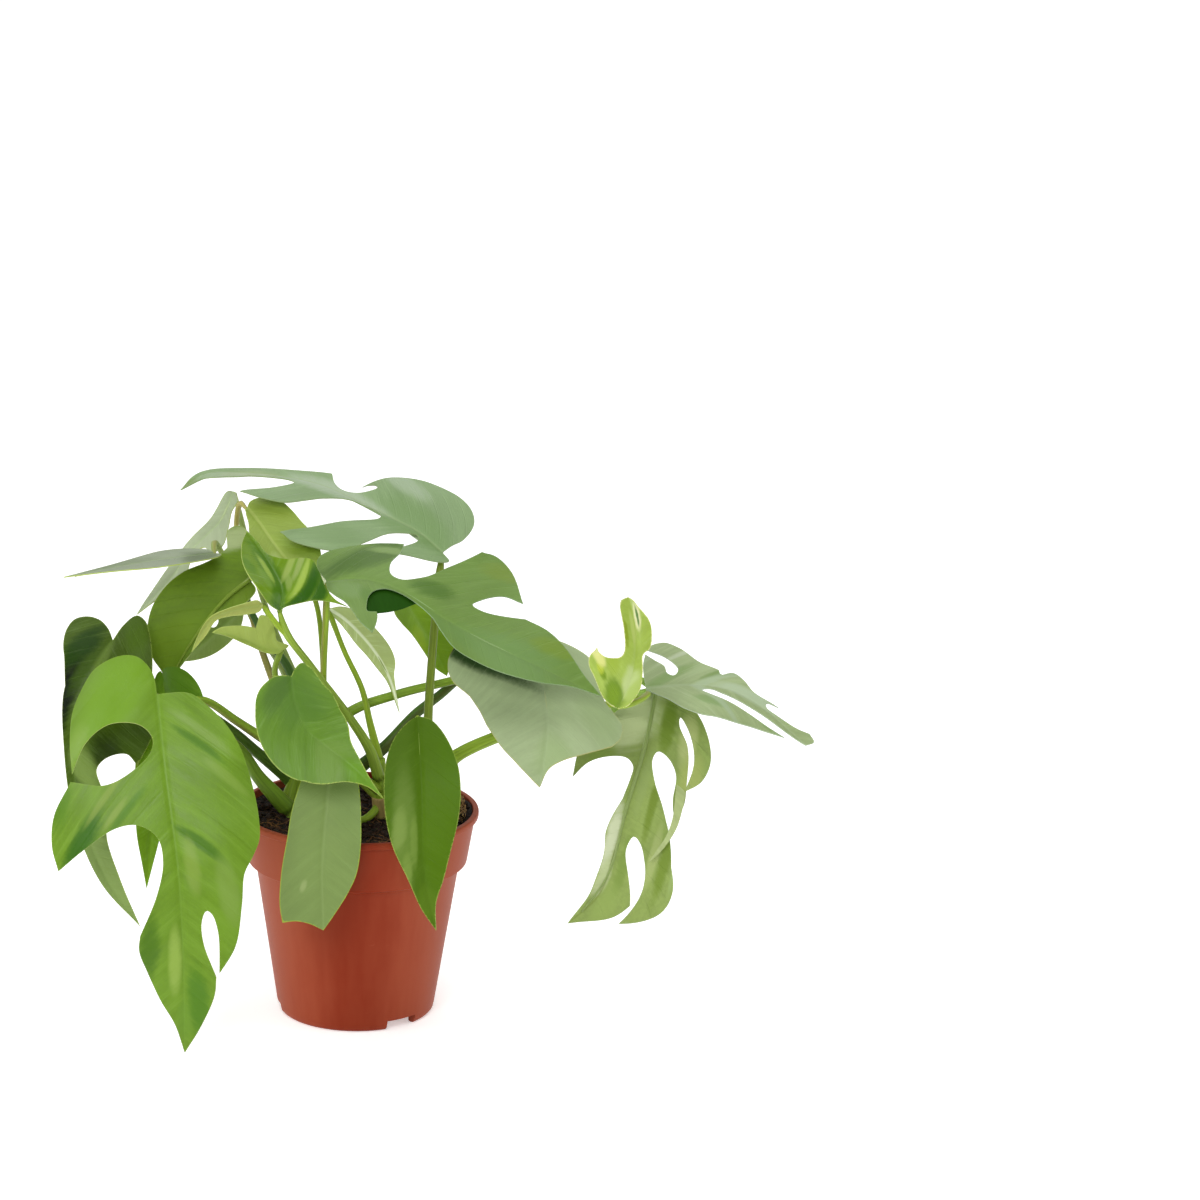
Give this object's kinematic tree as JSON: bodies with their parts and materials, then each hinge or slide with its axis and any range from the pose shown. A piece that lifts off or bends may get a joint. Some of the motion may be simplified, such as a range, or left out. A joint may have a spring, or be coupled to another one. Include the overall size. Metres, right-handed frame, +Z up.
{
  "type": "potted climbing aroid plant",
  "caption": "Young climbing aroid with split, pointed leaves on thin stems, standing in a filled round plastic nursery pot.",
  "frame": {"origin": "middle of the pot's underside, on the surface it stands on", "axes": "+Z up, -Y towards the side that faces the viewer, +X to the viewer's right, where the long vine leans"},
  "size_m": [0.3674, 0.1717, 0.2628],
  "materials": {
    "pot": "matte",
    "soil": "matte",
    "stem": "satin",
    "leaf_fresh": "satin",
    "leaf_deep": "satin",
    "leaf_dark": "satin",
    "leaf_olive": "satin",
    "leaf_lime": "satin",
    "leaf_blue": "satin",
    "leaf_pale": "satin",
    "leaf_under": "satin",
    "leaf_striped": "satin"
  },
  "bodies": {
    "root": {"pot": "pot", "soil": "soil", "stem_left": "stem", "stem_centre": "stem", "stem_right": "stem", "stem_back": "stem", "leaf_front_left": "leaf_fresh", "leaf_left_dark": "leaf_dark", "leaf_left_behind": "leaf_dark", "leaf_olive": "leaf_olive", "leaf_left_level": "leaf_blue", "leaf_back_left": "leaf_pale", "leaf_top": "leaf_blue", "leaf_upper_bright": "leaf_lime", "leaf_middle": "leaf_deep", "leaf_centre_right": "leaf_blue", "leaf_right_broad": "leaf_blue", "leaf_front_centre": "leaf_fresh", "leaf_front_low": "leaf_under", "leaf_front_right": "leaf_deep", "leaf_right_far": "leaf_pale", "leaf_right_hanging": "leaf_under", "leaf_furled": "leaf_lime", "leaf_back_variegated": "leaf_striped", "leaf_back_right": "leaf_lime", "leaf_back_low": "leaf_pale", "leaf_striped": "leaf_striped", "leaf_young_boat": "leaf_lime", "leaf_young_curled": "leaf_lime"}
  },
  "joints": []
}
